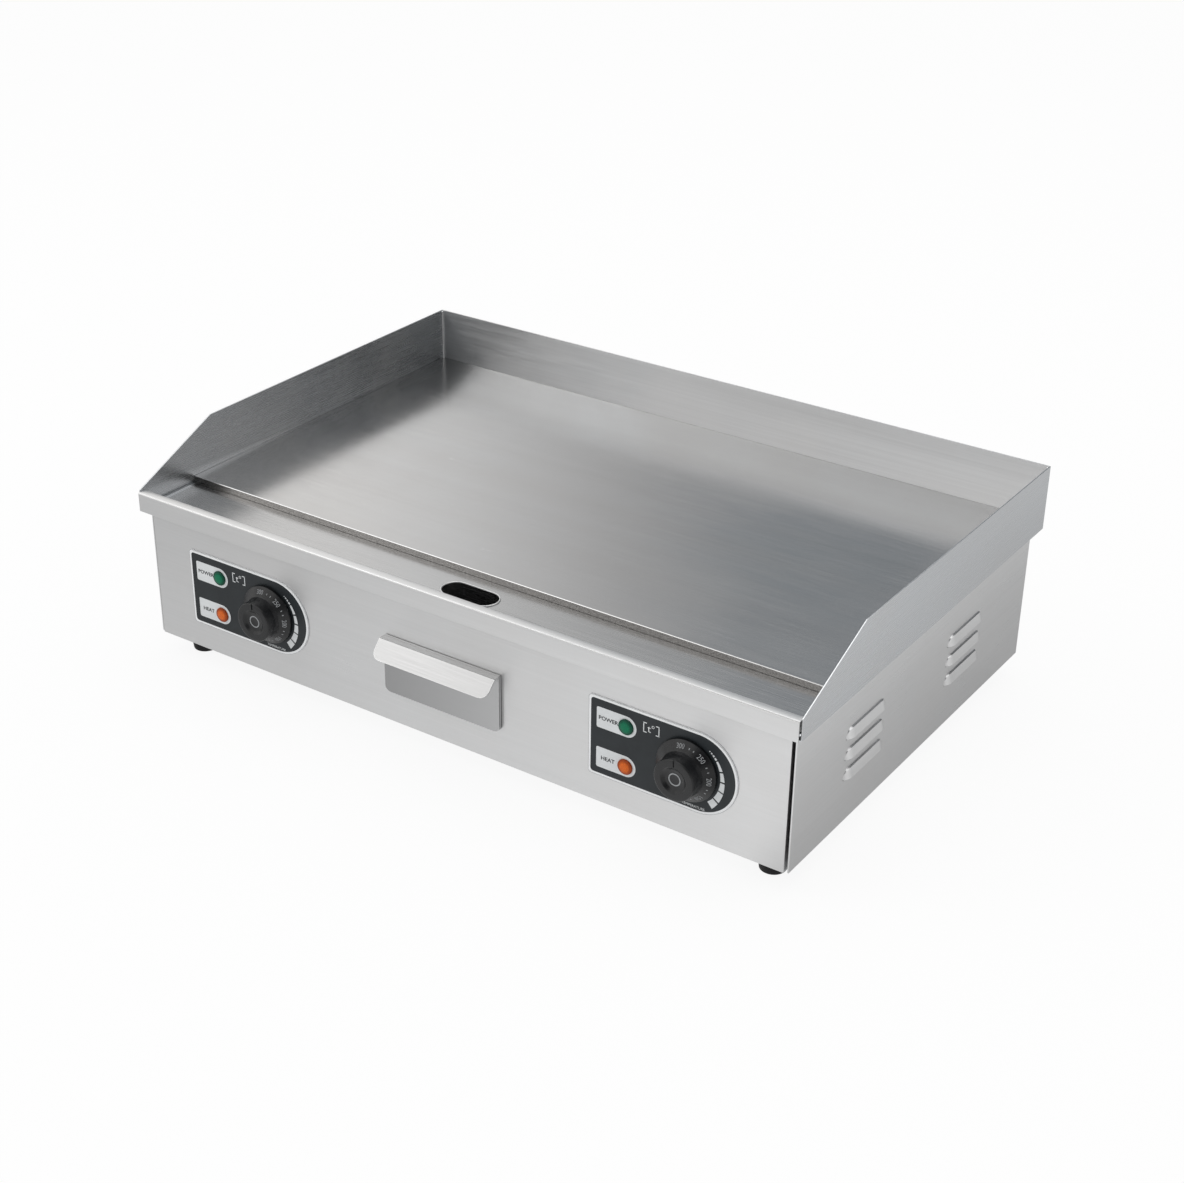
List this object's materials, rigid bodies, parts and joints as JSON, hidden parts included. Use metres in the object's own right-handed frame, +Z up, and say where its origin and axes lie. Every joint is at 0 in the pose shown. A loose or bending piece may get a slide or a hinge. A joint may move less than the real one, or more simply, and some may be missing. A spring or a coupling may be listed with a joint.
{
  "type": "electric griddle",
  "caption": "Countertop griddle: thick flat cooking plate between splash guards, front grease trough with a drip slot over a pull-out drawer, knobs and pilot lamps on the front, rubber feet.",
  "frame": {"origin": "middle of the griddle's bounding box, on the surface that its feet stand on", "axes": "+X to the right as seen by the cook, +Y from the controls to the rear, +Z up"},
  "size_m": [0.73, 0.502, 0.2212],
  "materials": {
    "satin_steel": "brushed stainless sheet, satin",
    "ground_steel": "ground cooking plate, fine cross grain",
    "zinc_steel": "zinc plated, dull",
    "foot_rubber": "matt",
    "label_film": "dark printed film with a light border",
    "green_lens": "clear green lamp lens",
    "orange_lens": "clear orange lamp lens",
    "black_plastic": "moulded, satin",
    "white_plastic": "moulded, matt",
    "element_sheath": "heat-darkened sheath",
    "copper_tube": "drawn copper tube",
    "ceramic_wool": "pressed fibre board, matt",
    "brass_metal": "turned brass",
    "cable_jacket": "heat-resistant sleeve, matt"
  },
  "bodies": {
    "griddle": {"griddle_plate": "ground_steel", "trough": "satin_steel", "drip_chute": "satin_steel", "left_splash_guard": "satin_steel", "right_splash_guard": "satin_steel", "rear_splash_guard": "satin_steel", "front_panel": "satin_steel", "left_side_panel": "satin_steel", "right_side_panel": "satin_steel", "rear_panel": "satin_steel", "base_plate": "zinc_steel", "front_left_foot": "foot_rubber", "front_left_foot_screw": "zinc_steel", "front_right_foot": "foot_rubber", "front_right_foot_screw": "zinc_steel", "rear_left_foot": "foot_rubber", "rear_left_foot_screw": "zinc_steel", "rear_right_foot": "foot_rubber", "rear_right_foot_screw": "zinc_steel", "left_control_label": "label_film", "left_power_lamp_lens": "green_lens", "left_power_lamp_body": "white_plastic", "left_heat_lamp_lens": "orange_lens", "left_heat_lamp_body": "white_plastic", "left_thermostat": "white_plastic", "right_control_label": "label_film", "right_power_lamp_lens": "green_lens", "right_power_lamp_body": "white_plastic", "right_heat_lamp_lens": "orange_lens", "right_heat_lamp_body": "white_plastic", "right_thermostat": "white_plastic", "left_heating_element": "element_sheath", "left_sensing_bulb": "copper_tube", "left_insulation": "ceramic_wool", "left_heat_shield": "zinc_steel", "left_shield_nut_1": "zinc_steel", "left_shield_nut_2": "zinc_steel", "left_shield_nut_3": "zinc_steel", "right_heating_element": "element_sheath", "right_sensing_bulb": "copper_tube", "right_insulation": "ceramic_wool", "right_heat_shield": "zinc_steel", "right_shield_nut_1": "zinc_steel", "right_shield_nut_2": "zinc_steel", "right_shield_nut_3": "zinc_steel", "left_drawer_rail": "zinc_steel", "right_drawer_rail": "zinc_steel", "cable_gland": "black_plastic", "cable_gland_nut": "black_plastic", "terminal_block": "white_plastic", "earth_terminal": "brass_metal", "left_wiring_harness": "cable_jacket", "right_wiring_harness": "cable_jacket"},
    "drawer": {"drawer_tray": "satin_steel", "drawer_handle": "satin_steel"},
    "left_knob": {"left_knob": "black_plastic", "left_thermostat_shaft": "zinc_steel"},
    "right_knob": {"right_knob": "black_plastic", "right_thermostat_shaft": "zinc_steel"}
  },
  "joints": [
    {"name": "drawer_slide", "type": "slide", "parent": "griddle", "child": "drawer", "axis": [0, -1, 0], "range_m": [0, 0.19]},
    {"name": "left_knob_turn", "type": "hinge", "parent": "griddle", "child": "left_knob", "pos_m": [-0.2078, -0.2403, 0.089], "axis": [0, 1, 0], "range_deg": [0, 280]},
    {"name": "right_knob_turn", "type": "hinge", "parent": "griddle", "child": "right_knob", "pos_m": [0.259, -0.2403, 0.089], "axis": [0, 1, 0], "range_deg": [0, 280]}
  ]
}
